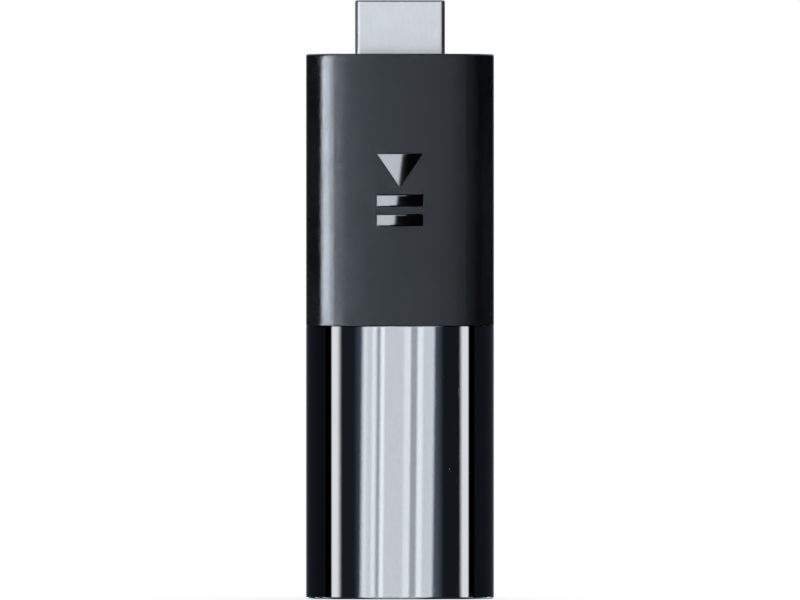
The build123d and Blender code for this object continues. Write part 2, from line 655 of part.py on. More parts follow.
with BuildPart() as ceramic_capacitors:
    capacitor_l = 1.6
    capacitor_w = 0.8
    capacitor_spots = [(x, z) for x in (-2.4, 0, 2.4) for z in (28.5, 30.2, 37.0, 38.7)]
    extrude(rectangles(FRONT_OF_BOARD, capacitor_spots, capacitor_l, capacitor_w), amount=capacitor_w)

with BuildPart() as chip_resistors:
    resistor_l = 1.0
    resistor_w = 0.5
    resistor_h = 0.35
    resistor_spots = [(x, z) for x in (-6.0, -4.2, 4.2, 6.0) for z in (12.0, 14.0, 24.0)]
    extrude(rectangles(REAR_OF_BOARD, resistor_spots, resistor_l, resistor_w), amount=resistor_h)

with BuildPart() as main_crystal:
    extrude(rectangles(FRONT_OF_BOARD, [(0, 22.5)], 3.2, 2.5, 0.3), amount=0.7)

with BuildPart() as surge_arrays:
    array_spots = [(x, 71.3) for x in (-3.2, 0, 3.2)]
    extrude(rectangles(FRONT_OF_BOARD, array_spots, 2.5, 1.0), amount=0.5)

with BuildPart() as status_led:
    led_w = 0.8
    led_spot = (FIT + led_w / 2 - BOARD_W / 2, LIGHT_Z)
    extrude(rectangles(FRONT_OF_BOARD, [led_spot], led_w, 2 * led_w), amount=0.7)

# a rod through the wall with a wider head behind it, which faces the light
with BuildPart() as light_pipe:
    pipe_face = NECK_INSET - SIDE_X
    with BuildSketch(Plane.YZ.offset(pipe_face)):
        with Locations((LIGHT_Y, LIGHT_Z)):
            Circle(LIGHT_R)
    extrude(amount=NECK_WALL + CONTACT + PIPE_HEAD_T)
    with BuildSketch(Plane.YZ.offset(pipe_face + NECK_WALL + CONTACT)):
        with Locations((LIGHT_Y, LIGHT_Z)):
            Circle(PIPE_HEAD_R)
    extrude(amount=PIPE_HEAD_T)

with BuildPart() as foam_pad:
    foam_t = BOARD_BOTTOM - SLEEVE_FLOOR - 2 * CONTACT
    with Locations((0, 0, SLEEVE_FLOOR + CONTACT)):
        Box(16.0, 4.0, foam_t, align=(Align.CENTER, Align.CENTER, Align.MIN))

# ---------------------------------------------------------------- finished pieces
save(front_cover, "front_cover")
save(rear_cover, "rear_cover")
save(gloss_sleeve, "gloss_sleeve")
save(front_emblem, "front_emblem")
save(hdmi_shell, "hdmi_shell")
save(hdmi_insulator, "hdmi_insulator")
save(hdmi_front_contacts, "hdmi_front_contacts")
save(hdmi_rear_contacts, "hdmi_rear_contacts")
save(usb_shell, "usb_shell")
save(usb_insulator, "usb_insulator")
save(usb_contacts, "usb_contacts")
save(main_board, "main_board")
save(system_chip, "system_chip")
save(memory_chips, "memory_chips")
save(storage_chip, "storage_chip")
save(front_shield_frame, "front_shield_frame")
save(front_shield_lid, "front_shield_lid")
save(rear_shield_can, "rear_shield_can")
save(chip_thermal_pad, "chip_thermal_pad")
save(lid_thermal_pad, "lid_thermal_pad")
save(rear_thermal_pad, "rear_thermal_pad")
save(front_heat_spreader, "front_heat_spreader")
save(rear_heat_spreader, "rear_heat_spreader")
save(wireless_board, "wireless_board")
save(wireless_can, "wireless_can")
save(antenna_connector, "antenna_connector")
save(antenna_cable, "antenna_cable")
save(wifi_antenna, "wifi_antenna")
save(bluetooth_antenna, "bluetooth_antenna")
save(power_chip, "power_chip")
save(power_inductors, "power_inductors")
save(ceramic_capacitors, "ceramic_capacitors")
save(chip_resistors, "chip_resistors")
save(main_crystal, "main_crystal")
save(surge_arrays, "surge_arrays")
save(status_led, "status_led")
save(light_pipe, "light_pipe")
save(foam_pad, "foam_pad")
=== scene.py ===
import math

import bmesh
import bpy
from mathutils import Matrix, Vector


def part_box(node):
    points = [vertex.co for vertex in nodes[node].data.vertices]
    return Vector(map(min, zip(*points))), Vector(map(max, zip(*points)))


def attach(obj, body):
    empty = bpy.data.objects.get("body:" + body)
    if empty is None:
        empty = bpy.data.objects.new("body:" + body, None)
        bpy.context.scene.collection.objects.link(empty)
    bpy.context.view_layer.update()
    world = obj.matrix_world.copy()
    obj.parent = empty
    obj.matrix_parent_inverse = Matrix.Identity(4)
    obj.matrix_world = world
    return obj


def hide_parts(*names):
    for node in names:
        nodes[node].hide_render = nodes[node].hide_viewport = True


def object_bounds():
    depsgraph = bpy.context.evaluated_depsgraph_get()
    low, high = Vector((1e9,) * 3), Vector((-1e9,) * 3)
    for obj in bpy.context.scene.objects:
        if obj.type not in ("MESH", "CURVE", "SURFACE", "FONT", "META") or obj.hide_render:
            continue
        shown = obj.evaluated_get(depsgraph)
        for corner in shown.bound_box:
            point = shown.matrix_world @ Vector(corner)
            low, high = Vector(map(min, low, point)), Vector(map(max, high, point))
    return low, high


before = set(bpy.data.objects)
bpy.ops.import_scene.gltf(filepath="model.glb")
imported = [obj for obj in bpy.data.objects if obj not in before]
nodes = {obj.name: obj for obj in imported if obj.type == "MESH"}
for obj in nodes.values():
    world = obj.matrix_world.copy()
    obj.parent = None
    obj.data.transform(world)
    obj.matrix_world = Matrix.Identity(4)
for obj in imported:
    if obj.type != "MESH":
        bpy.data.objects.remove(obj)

cad_low, cad_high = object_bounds()
MM = 0.001
scene = bpy.context.scene
scene.view_settings.view_transform = "Standard"
scene.view_settings.look = "None"

# shape of the body's cross-section, as in the CAD part
CROWN_R = 60.0 * MM
CORNER_R = 5.2 * MM
DEPTH_TO_WIDTH = 15.2 / 29.0
BODY_HALF_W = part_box("gloss_sleeve")[1].x
BODY_HALF_D = BODY_HALF_W * DEPTH_TO_WIDTH


# ---------------------------------------------------------------- node helpers
class Shader:
    """Builds one procedural material, or the world; coordinates are in millimetres of the shared frame."""

    def __init__(self, name, world=None):
        self.owner = world or bpy.data.materials.new(name)
        self.owner.use_nodes = True
        self.tree = self.owner.node_tree
        self.tree.nodes.clear()
        self.output = self.add("OutputWorld" if world else "OutputMaterial")
        self.place = self.add("TexCoord")

    def add(self, kind, settings=None, **inputs):
        """A new node with its settings and inputs; an input's spaces are written as underscores."""
        node = self.tree.nodes.new("ShaderNode" + kind)
        for key, value in (settings or {}).items():
            setattr(node, key, value)
        for key, value in inputs.items():
            self.put(node.inputs[key.replace("_", " ")], value)
        return node

    def put(self, socket, value):
        """Links a socket to another node's output, or gives it a plain value."""
        if isinstance(value, bpy.types.NodeSocket):
            self.tree.links.new(value, socket)
        else:
            socket.default_value = value

    def coords(self, scale=(1, 1, 1), turn=(0, 0, 0)):
        """Position in millimetres, stretched by scale."""
        node = self.add("Mapping", Vector=self.place.outputs["Object"])
        node.inputs["Scale"].default_value = [s / MM for s in scale]
        node.inputs["Rotation"].default_value = turn
        return node.outputs["Vector"]

    def noise(self, scale, detail=2.0, rough=0.5, vector=None, distort=0.0):
        """Cloudy noise; scale is in repeats per millimetre."""
        node = self.add("TexNoise", Scale=scale, Detail=detail, Roughness=rough, Distortion=distort)
        self.put(node.inputs["Vector"], vector or self.coords())
        return node.outputs["Fac"]

    def cells(self, scale, feature="F1"):
        """Distance to scattered points or cell walls; scale is in cells per millimetre."""
        node = self.add("TexVoronoi", {"feature": feature}, Vector=self.coords(), Scale=scale)
        return node.outputs["Distance"]

    def math(self, operation, a, b=0.0):
        """One sum on one or two values."""
        node = self.add("Math", {"operation": operation})
        self.put(node.inputs[0], a)
        self.put(node.inputs[1], b)
        return node.outputs[0]

    def span(self, value, low, high, out_low=0.0, out_high=1.0, curve="LINEAR"):
        """Remaps value from low..high to out_low..out_high, held at both ends."""
        return self.add(
            "MapRange", {"clamp": True, "interpolation_type": curve},
            Value=value, From_Min=low, From_Max=high, To_Min=out_low, To_Max=out_high,
        ).outputs["Result"]

    def blend(self, fac, a, b):
        """Colour a where fac is 0 and colour b where it is 1; the numbers are the colour sockets."""
        node = self.add("Mix", {"data_type": "RGBA"})
        self.put(node.inputs[0], fac)
        self.put(node.inputs[6], colour(a))
        self.put(node.inputs[7], colour(b))
        return node.outputs[2]

    def axis(self, name):
        """One coordinate of the shared frame in millimetres."""
        node = self.add("SeparateXYZ", Vector=self.coords())
        return node.outputs[name]

    def bump(self, height, depth_mm, strength=1.0, normal=None):
        """A normal tilted by relief of the given depth, on top of another normal if there is one."""
        node = self.add("Bump", Strength=strength, Distance=depth_mm * MM, Height=height)
        if normal is not None:
            self.put(node.inputs["Normal"], normal)
        return node.outputs["Normal"]

    def worn_edges(self, radius_mm):
        """1 on convex edges, 0 on open faces."""
        bevel = self.add("Bevel", {"samples": 4}, Radius=radius_mm * MM)
        geometry = self.add("NewGeometry")
        dot = self.add("VectorMath", {"operation": "DOT_PRODUCT"})
        self.put(dot.inputs[0], bevel.outputs["Normal"])
        self.put(dot.inputs[1], geometry.outputs["Normal"])
        return self.span(dot.outputs["Value"], 0.98, 0.80)

    def soft_shoulder(self, inner_mm, outer_mm):
        """Falls smoothly from 1 to 0 across the line where the crown meets the rounded side."""
        meet = (BODY_HALF_W - CORNER_R) * CROWN_R / (CROWN_R - CORNER_R) / MM
        away = self.math("ABSOLUTE", self.axis("X"))
        return self.span(away, meet - inner_mm, meet + outer_mm, 1.0, 0.0, "SMOOTHERSTEP")

    def show(self, shader):
        """Makes a shader node the surface of the material or world."""
        self.tree.links.new(shader.outputs[0], self.output.inputs["Surface"])
        return self.owner

    def surface(self, **inputs):
        """The finished Principled surface."""
        return self.show(self.add("BsdfPrincipled", **inputs))

    def both(self, first, second):
        """The sum of two shader nodes."""
        node = self.add("AddShader")
        self.put(node.inputs[0], first.outputs[0])
        self.put(node.inputs[1], second.outputs[0])
        return node

    def for_camera(self, seen, otherwise):
        """One shader node for camera rays and another for all other rays."""
        node = self.add("MixShader")
        self.put(node.inputs[0], self.add("LightPath").outputs["Is Camera Ray"])
        self.put(node.inputs[1], otherwise.outputs[0])
        self.put(node.inputs[2], seen.outputs[0])
        return node


def colour(value):
    """Adds the alpha that a colour socket expects; anything else passes through."""
    if isinstance(value, tuple) and len(value) == 3:
        return (*value, 1.0)
    return value


def paint(material, *names):
    """Gives CAD nodes their material."""
    for name in names:
        mesh = nodes[name].data
        mesh.materials.clear()
        mesh.materials.append(material)


# ---------------------------------------------------------------- outer materials
MATTE_DARK = (0.0095, 0.011, 0.0132)
MATTE_LIGHT = (0.0112, 0.013, 0.0156)
MATTE_ROUGH = 0.21


def moulded_matte():
    """Dark blue-grey moulded plastic with a fine spark-eroded grain.

    The second bump blends the crown into the rounded side, so that no line shows where their curvatures meet.
    """
    s = Shader("graphite_grey_plastic")
    grain = s.noise(9.0, 3.0, 0.6)
    pits = s.cells(6.0)
    drift = s.noise(0.09, 2.0)
    base = s.blend(s.span(drift, 0.35, 0.65), MATTE_DARK, MATTE_LIGHT)
    base = s.blend(s.math("MULTIPLY", s.worn_edges(0.15), 0.25), base, (0.10, 0.105, 0.115))
    uneven = s.math("ADD", grain, s.math("MULTIPLY", drift, 0.5))
    rough = s.span(uneven, 0.5, 1.0, MATTE_ROUGH - 0.03, MATTE_ROUGH + 0.05)
    relief = s.math("ADD", grain, s.math("MULTIPLY", pits, 0.6))
    normal = s.bump(relief, 0.004, 0.35)
    normal = s.bump(s.soft_shoulder(2.2, 1.2), 0.09, 1.0, normal)
    return s.surface(Base_Color=base, Roughness=rough, Normal=normal, IOR=1.5)


def piano_black():
    """Polished black moulding: faint orange peel, hairline scratches and a little dust."""
    s = Shader("piano_black_plastic")
    peel = s.noise(0.55, 1.0)
    hair = s.noise(1.0, 4.0, 0.7, s.coords((6.0, 6.0, 0.12), (0.0, 0.25, 0.1)))
    hair = s.span(hair, 0.66, 0.70)
    smear = s.noise(0.16, 3.0, 0.6, distort=0.6)
    dust = s.span(s.cells(1.1), 0.035, 0.02)
    rough = s.span(smear, 0.40, 0.75, 0.010, 0.024)
    rough = s.math("ADD", rough, s.math("MULTIPLY", dust, 0.3))
    base = s.blend(s.math("MULTIPLY", dust, 0.35), (0.0012, 0.0013, 0.0015), (0.06, 0.06, 0.065))
    base = s.blend(s.math("MULTIPLY", s.worn_edges(0.12), 0.15), base, (0.03, 0.032, 0.036))
    normal = s.bump(peel, 0.0012, 0.5)
    normal = s.bump(hair, 0.0006, 0.15, normal)
    return s.surface(Base_Color=base, Roughness=rough, Normal=normal, IOR=1.5)


def polished_inlay():
    """Mirror-polished metal foil with a faint circular buff."""
    s = Shader("polished_metal")
    buff = s.noise(1.0, 3.0, 0.6, s.coords((18.0, 18.0, 1.2)))
    tint = s.blend(s.span(buff, 0.3, 0.7), (0.79, 0.80, 0.81), (0.86, 0.87, 0.88))
    rough = s.span(buff, 0.3, 0.7, 0.02, 0.04)
    normal = s.bump(buff, 0.0003, 0.1)
    return s.surface(Base_Color=tint, Metallic=1.0, Roughness=rough, Normal=normal)


def plated_steel(name="nickel_steel", tint=(0.692, 0.69, 0.682), rough_low=0.26, rough_high=0.36):
    """Satin nickel plating over drawn sheet, brushed along the stick, burnished at the edges."""
    s = Shader(name)
    brush = s.noise(1.0, 4.0, 0.65, s.coords((22.0, 22.0, 0.6)))
    cloud = s.noise(0.35, 3.0)
    pale = tuple(min(1.0, c * 1.03) for c in tint)
    dim = tuple(c * 0.975 for c in tint)
    base = s.blend(s.span(cloud, 0.35, 0.65), dim, pale)
    rub = s.span(s.noise(1.0, 2.0, 0.5, s.coords((3.0, 3.0, 0.25))), 0.60, 0.72)
    base = s.blend(s.math("MULTIPLY", rub, 0.18), base, (0.85, 0.86, 0.88))
    base = s.blend(s.math("MULTIPLY", s.worn_edges(0.08), 0.5), base, (0.88, 0.89, 0.90))
    rough = s.span(brush, 0.3, 0.7, rough_low, rough_high)
    normal = s.bump(brush, 0.0015, 0.15)
    return s.surface(Base_Color=base, Metallic=1.0, Roughness=rough, Normal=normal)


# ---------------------------------------------------------------- inner materials
def mottled(name, dark, light, rough, scale, depth_mm, metallic=0.0):
    """A general material with colour mottling, roughness variation, relief and lighter edges."""
    s = Shader(name)
    coarse = s.noise(scale * 0.2, 3.0, 0.6)
    fine = s.noise(scale, 4.0, 0.6)
    base = s.blend(s.span(coarse, 0.35, 0.65), dark, light)
    edge = tuple(min(1.0, c * 1.5 + 0.02) for c in light)
    base = s.blend(s.math("MULTIPLY", s.worn_edges(0.1), 0.4), base, edge)
    roughness = s.span(fine, 0.3, 0.7, rough - 0.06, rough + 0.06)
    normal = s.bump(fine, depth_mm, 0.4)
    return s.surface(Base_Color=base, Roughness=roughness, Metallic=metallic, Normal=normal)


def circuit_board():
    """Dark green solder mask over copper tracks, with tinned vias."""
    s = Shader("circuit_board")
    line = s.add(
        "TexBrick", {"offset": 0.37, "squash": 1.6, "squash_frequency": 3},
        Vector=s.coords((0.55, 1.0, 0.55)), Scale=1.0,
        Mortar_Size=0.03, Mortar_Smooth=0.1, Brick_Width=1.7, Row_Height=0.45,
    ).outputs["Fac"]
    weave = s.noise(2.0, 2.0)
    mask = s.blend(s.span(weave, 0.3, 0.7), (0.004, 0.045, 0.028), (0.006, 0.060, 0.036))
    mask = s.blend(s.math("MULTIPLY", line, 0.6), mask, (0.015, 0.11, 0.06))
    via = s.span(s.cells(0.45), 0.09, 0.07)
    base = s.blend(via, mask, (0.72, 0.66, 0.48))
    rough = s.span(weave, 0.3, 0.7, 0.25, 0.4)
    return s.surface(Base_Color=base, Metallic=via, Roughness=rough, Normal=s.bump(line, 0.03, 0.5))


def end_plated(name, body, axis, half_mm, plate_mm):
    """A ceramic body with tinned ends along one axis, repeated by the part's own pitch."""
    s = Shader(name)
    wobble = s.noise(3.0, 3.0)
    base = s.blend(s.span(wobble, 0.3, 0.7), body, tuple(c * 1.3 for c in body))
    pitch = s.math("PINGPONG", s.math("ADD", s.axis(axis), half_mm), half_mm * 1.5)
    ends = s.span(pitch, plate_mm, plate_mm * 0.8)
    base = s.blend(ends, base, (0.70, 0.70, 0.68))
    rough = s.span(wobble, 0.3, 0.7, 0.3, 0.5)
    return s.surface(Base_Color=base, Metallic=ends, Roughness=rough)


def chip_epoxy():
    """Moulded black epoxy with a sanded, gritty surface."""
    s = Shader("chip_black")
    grit = s.noise(14.0, 3.0, 0.7)
    cloud = s.noise(0.6, 2.0)
    base = s.blend(s.span(cloud, 0.3, 0.7), (0.012, 0.012, 0.013), (0.024, 0.024, 0.026))
    base = s.blend(s.span(grit, 0.6, 0.75, 0.0, 0.3), base, (0.07, 0.07, 0.07))
    rough = s.span(grit, 0.3, 0.7, 0.5, 0.7)
    return s.surface(Base_Color=base, Roughness=rough, Normal=s.bump(grit, 0.004, 0.5))


def gap_filler():
    """Soft blue-grey silicone pad, dimpled, with filler specks."""
    s = Shader("thermal_pad")
    speck = s.span(s.cells(5.0), 0.16, 0.10)
    dimple = s.noise(1.4, 2.0)
    base = s.blend(s.span(dimple, 0.3, 0.7), (0.16, 0.22, 0.31), (0.22, 0.29, 0.38))
    base = s.blend(s.math("MULTIPLY", speck, 0.5), base, (0.5, 0.55, 0.6))
    normal = s.bump(dimple, 0.05, 0.5)
    return s.surface(Base_Color=base, Roughness=0.7, Normal=normal, Subsurface_Weight=0.05)


def open_foam():
    """Open-cell charcoal foam, with painted shade: the middles of its cells are darkened as if shaded inside
    the pores, and the walls between them stay pale.
    """
    s = Shader("foam")
    cell = s.cells(3.0, feature="DISTANCE_TO_EDGE")
    # painted shade: this mask is 1 in the middles of the cells, which it paints nearly black and sinks as
    # pores; it is 0 on the cell walls
    pore_depth_and_shade = s.span(cell, 0.02, 0.12)
    base = s.blend(pore_depth_and_shade, (0.07, 0.07, 0.075), (0.008, 0.008, 0.009))
    normal = s.bump(s.math("SUBTRACT", 1.0, pore_depth_and_shade), 0.15, 0.9)
    return s.surface(Base_Color=base, Roughness=0.9, Normal=normal)


def flex_antenna():
    """Amber film over parallel copper lanes that stop short of both edges."""
    low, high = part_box("wifi_antenna")
    middle = (low.z + high.z) / 2 / MM
    s = Shader("antenna_flex")
    lane = s.math("PINGPONG", s.axis("X"), 1.1)
    from_middle = s.math("ABSOLUTE", s.math("SUBTRACT", s.axis("Z"), middle))
    copper = s.math("MULTIPLY", s.span(lane, 0.5, 0.6), s.span(from_middle, 3.0, 2.8))
    film = s.blend(s.span(s.noise(1.5, 2.0), 0.3, 0.7), (0.20, 0.075, 0.012), (0.27, 0.11, 0.02))
    base = s.blend(copper, film, (0.55, 0.30, 0.12))
    normal = s.bump(copper, 0.02, 0.6)
    return s.surface(Base_Color=base, Roughness=0.35, Normal=normal, Coat_Weight=0.5)


def light_guide():
    """Clear moulded guide with faint flow lines."""
    s = Shader("clear_light_pipe")
    flow = s.noise(1.0, 2.0, 0.5, s.coords((1.0, 8.0, 8.0)))
    tint = s.blend(flow, (0.80, 0.86, 0.90), (0.93, 0.96, 0.98))
    rough = s.span(flow, 0.3, 0.7, 0.05, 0.15)
    normal = s.bump(flow, 0.005, 0.4)
    return s.surface(Base_Color=tint, Roughness=rough, IOR=1.49, Transmission_Weight=0.7, Normal=normal)


def milky_resin():
    """Milky, slightly cloudy resin of a light-emitting diode."""
    s = Shader("led_lens")
    cloud = s.noise(4.0, 2.0)
    base = s.blend(s.span(cloud, 0.3, 0.7), (0.75, 0.74, 0.66), (0.86, 0.86, 0.80))
    normal = s.bump(cloud, 0.01, 0.3)
    return s.surface(Base_Color=base, Roughness=0.35, Normal=normal, Subsurface_Weight=0.2)


paint(moulded_matte(), "front_cover", "rear_cover")
paint(plated_steel(), "hdmi_shell", "usb_shell")
paint(mottled("connector_black", (0.010, 0.010, 0.011), (0.018, 0.018, 0.020), 0.5, 6.0, 0.006),
      "hdmi_insulator", "usb_insulator")
paint(mottled("gold_contact", (0.83, 0.58, 0.22), (0.93, 0.70, 0.33), 0.22, 8.0, 0.002, 1.0),
      "hdmi_front_contacts", "hdmi_rear_contacts", "usb_contacts", "antenna_connector")
paint(circuit_board(), "main_board", "wireless_board")
paint(chip_epoxy(), "system_chip", "memory_chips", "storage_chip", "power_chip", "surge_arrays")
paint(plated_steel("shield_tinplate", (0.60, 0.61, 0.60), 0.30, 0.45),
      "front_shield_frame", "front_shield_lid", "rear_shield_can", "wireless_can", "main_crystal")
paint(gap_filler(), "chip_thermal_pad", "lid_thermal_pad", "rear_thermal_pad")
paint(mottled("spreader_aluminium", (0.70, 0.71, 0.73), (0.80, 0.81, 0.83), 0.38, 5.0, 0.004, 1.0),
      "front_heat_spreader", "rear_heat_spreader")
paint(mottled("cable_black", (0.012, 0.012, 0.013), (0.02, 0.02, 0.022), 0.45, 5.0, 0.01), "antenna_cable")
paint(flex_antenna(), "wifi_antenna")
paint(mottled("ceramic_white", (0.62, 0.62, 0.58), (0.74, 0.74, 0.70), 0.4, 5.0, 0.006), "bluetooth_antenna")
paint(mottled("ferrite_grey", (0.035, 0.035, 0.037), (0.06, 0.06, 0.063), 0.6, 7.0, 0.01), "power_inductors")
paint(end_plated("ceramic_tan", (0.20, 0.125, 0.07), "X", 0.8, 0.3), "ceramic_capacitors")
paint(end_plated("resistor_black", (0.012, 0.012, 0.013), "X", 0.5, 0.2), "chip_resistors")
paint(milky_resin(), "status_led")
paint(light_guide(), "light_pipe")
paint(open_foam(), "foam_pad")


# ---------------------------------------------------------------- rebuilt outer pieces
# sleeve
SLEEVE_WALL = 0.9 * MM
SLEEVE_FLOOR = 1.6 * MM
LOWER_ROUND = 0.3 * MM
UPPER_ROUND = 0.05 * MM
SHADING_HOLD = 0.04 * MM  # a narrow flat band beside each rounding keeps the long flats' shading straight
JOINT_CLOSING = 0.079 * MM  # just under the CAD joint's gap, so that no light shows through its ends
PORT_HALF_DEPTH = 1.5 * MM
PORT_HALF_HEIGHT = 4.1 * MM
PORT_CORNER = 0.8 * MM
PINHOLE_R = 0.4 * MM
CUT_REACH = 2.0 * MM  # how far a cut goes either side of the wall's outer face

# emblem
BAR_HEIGHT = 1.9 * MM
BAR_GAP = 1.1 * MM
INLAY_PROUD = 0.05 * MM
INLAY_DEPTH = 0.25 * MM
INLAY_ROUND = 0.03 * MM
INLAY_EDGE_ANGLE = math.radians(40)  # edges sharper than this are rounded

SHARP_ANGLE = math.radians(30)
SAME_POINT = 0.001 * MM


def middle_of(node):
    """Centre of a CAD node's box."""
    low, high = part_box(node)
    return (low + high) / 2


def crown_y(x, out):
    """Depth of the front face at x, moved outwards by out."""
    radius = CROWN_R + out
    return -(BODY_HALF_D + out - radius + math.sqrt(radius * radius - x * x))


def body_ring(inset, crown_steps=48, corner_steps=48):
    """Points round the body's cross-section, moved inwards by inset; the steps are for a quarter of it."""
    half_w, half_d = BODY_HALF_W - inset, BODY_HALF_D - inset
    crown_r, corner_r = CROWN_R - inset, CORNER_R - inset
    centre_y = half_d - crown_r
    corner_x = half_w - corner_r
    corner_y = centre_y + math.sqrt((crown_r - corner_r) ** 2 - corner_x**2)
    meet = math.asin(corner_x / (crown_r - corner_r))
    quarter = []
    for i in range(crown_steps + 1):
        a = meet * i / crown_steps
        quarter.append((crown_r * math.sin(a), centre_y + crown_r * math.cos(a)))
    for i in range(1, corner_steps + 1):
        a = meet + (math.pi / 2 - meet) * i / corner_steps
        quarter.append((corner_x + corner_r * math.sin(a), corner_y + corner_r * math.cos(a)))
    quarter.append((half_w, 0.0))
    front_right = [(x, -y) for x, y in reversed(quarter[:-1])]
    front_left = [(-x, -y) for x, y in quarter[1:]]
    rear_left = [(-x, y) for x, y in reversed(quarter[1:-1])]
    return quarter + front_right + front_left + rear_left


def lathe_rings(name, stations):
    """A closed skin through body cross-sections: stations are (inset, z), first and last capped."""
    points, faces = [], []
    for inset, z in stations:
        points += [(x, y, z) for x, y in body_ring(inset)]
    n = len(points) // len(stations)
    for k in range(len(stations) - 1):
        for i in range(n):
            j = (i + 1) % n
            faces.append((k * n + i, (k + 1) * n + i, (k + 1) * n + j, k * n + j))
    faces.append(tuple(range(n)))
    faces.append(tuple(reversed(range((len(stations) - 1) * n, len(stations) * n))))
    return solid(name, points, faces)


def solid(name, points, faces):
    """A new object from points and faces, with its faces turned outwards."""
    mesh = bpy.data.meshes.new(name)
    mesh.from_pydata(points, [], faces)
    work = bmesh.new()
    work.from_mesh(mesh)
    bmesh.ops.recalc_face_normals(work, faces=work.faces)
    work.to_mesh(mesh)
    work.free()
    made = bpy.data.objects.new(name, mesh)
    scene.collection.objects.link(made)
    return made


def bake(made):
    """Applies the object's modifiers to its mesh."""
    depsgraph = bpy.context.evaluated_depsgraph_get()
    mesh = bpy.data.meshes.new_from_object(made.evaluated_get(depsgraph))
    made.modifiers.clear()
    made.data = mesh


def rounded_prism(name, centre_y, centre_z, half_y, half_z, corner, x_low, x_high, steps=10):
    """A prism along X with a rounded-rectangle section, used to cut openings in the left side."""
    ring = []
    for cy, cz, start in ((1, 1, 0), (-1, 1, 90), (-1, -1, 180), (1, -1, 270)):
        for i in range(steps + 1):
            a = math.radians(start + 90 * i / steps)
            y = centre_y + cy * (half_y - corner) + corner * math.cos(a)
            z = centre_z + cz * (half_z - corner) + corner * math.sin(a)
            ring.append((y, z))
    n = len(ring)
    points = [(x_low, y, z) for y, z in ring] + [(x_high, y, z) for y, z in ring]
    faces = [(i, (i + 1) % n, n + (i + 1) % n, n + i) for i in range(n)]
    faces += [tuple(range(n)), tuple(range(n, 2 * n))]
    return solid(name, points, faces)


def cut(made, *cutters):
    """Subtracts the cutters and removes them."""
    for cutter in cutters:
        step = made.modifiers.new("cut", "BOOLEAN")
        step.operation = "DIFFERENCE"
        step.solver = "EXACT"
        step.object = cutter
    bake(made)
    for cutter in cutters:
        bpy.data.objects.remove(cutter)


def stand_for(made, node, material):
    """A rebuilt piece rides on the body, hides its CAD node and takes its finish."""
    made.data.shade_smooth()
    made.data.set_sharp_from_angle(angle=SHARP_ANGLE)
    made.data.materials.clear()
    made.data.materials.append(material)
    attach(made, "root")
    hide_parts(node)


def sleeve():
    """The glossy sleeve with a fine skin, its rounded lower rim, and the port and light openings."""
    low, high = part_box("gloss_sleeve")
    foot = low.z
    top = high.z + JOINT_CLOSING
    shoulder = top - UPPER_ROUND
    chamfer = UPPER_ROUND / 2
    turns = [math.radians(90 * i / 8) for i in range(9)]
    stations = [(LOWER_ROUND * (1 - math.sin(a)), foot + LOWER_ROUND * (1 - math.cos(a))) for a in turns]
    stations += [(0.0, foot + LOWER_ROUND + SHADING_HOLD), (0.0, shoulder - SHADING_HOLD), (0.0, shoulder)]
    stations += [(UPPER_ROUND * (1 - math.cos(a)), shoulder + UPPER_ROUND * math.sin(a)) for a in turns[2::2]]
    stations += [(SLEEVE_WALL - chamfer, top), (SLEEVE_WALL, top - chamfer)]
    stations.append((SLEEVE_WALL, foot + SLEEVE_FLOOR))
    made = lathe_rings("sleeve_skin", stations)
    reach = (-BODY_HALF_W - CUT_REACH, -BODY_HALF_W + CUT_REACH)
    port = middle_of("usb_shell")
    port_sizes = (PORT_HALF_DEPTH, PORT_HALF_HEIGHT, PORT_CORNER)
    pipe = middle_of("light_pipe")
    pinhole_sizes = (PINHOLE_R, PINHOLE_R, PINHOLE_R - SAME_POINT)
    cut(
        made,
        rounded_prism("port_cut", port.y, port.z, *port_sizes, *reach),
        rounded_prism("light_cut", pipe.y, pipe.z, *pinhole_sizes, *reach),
    )
    return made


def inlay(name, top, bottom, half_top, half_bottom, rows, columns=48):
    """One inlay on the front face, following its bulge: a bar, or a triangle where half_bottom is 0."""
    points, faces = [], []
    for out in (INLAY_PROUD, -INLAY_DEPTH):
        for i in range(rows + 1):
            z = top + (bottom - top) * i / rows
            half = half_top + (half_bottom - half_top) * i / rows
            for j in range(columns + 1):
                x = half * (2 * j / columns - 1)
                points.append((x, crown_y(x, out), z))
    layer = (rows + 1) * (columns + 1)
    width = columns + 1
    for base in (0, layer):
        for i in range(rows):
            for j in range(columns):
                a = base + i * width + j
                faces.append((a, a + 1, a + width + 1, a + width))
    border = list(range(width))
    border += [i * width + columns for i in range(1, rows + 1)]
    border += [rows * width + j for j in range(columns - 1, -1, -1)]
    border += [i * width for i in range(rows - 1, 0, -1)]
    for a, b in zip(border, border[1:] + border[:1]):
        faces.append((a, b, b + layer, a + layer))
    made = solid(name, points, faces)
    work = bmesh.new()
    work.from_mesh(made.data)
    bmesh.ops.remove_doubles(work, verts=work.verts, dist=SAME_POINT)
    bmesh.ops.dissolve_degenerate(work, edges=work.edges, dist=SAME_POINT / 2)
    bmesh.ops.recalc_face_normals(work, faces=work.faces)
    work.to_mesh(made.data)
    work.free()
    rounding = made.modifiers.new("rounding", "BEVEL")
    rounding.width = INLAY_ROUND
    rounding.segments = 2
    rounding.angle_limit = INLAY_EDGE_ANGLE
    bake(made)
    return made


def emblem():
    """The generic play-and-pause symbol: a triangle over two bars."""
    low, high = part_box("front_emblem")
    half = high.x
    pitch = BAR_HEIGHT + BAR_GAP
    return [
        inlay("emblem_triangle", high.z, low.z + 2 * pitch, half, 0.0, 40),
        inlay("emblem_upper_bar", low.z + pitch + BAR_HEIGHT, low.z + pitch, half, half, 8),
        inlay("emblem_lower_bar", low.z + BAR_HEIGHT, low.z, half, half, 8),
    ]


stand_for(sleeve(), "gloss_sleeve", piano_black())
buffed = polished_inlay()
for part in emblem():
    stand_for(part, "front_emblem", buffed)


# ---------------------------------------------------------------- stage
MIDDLE = (cad_low + cad_high) / 2
CAMERA_DISTANCE = 3.0

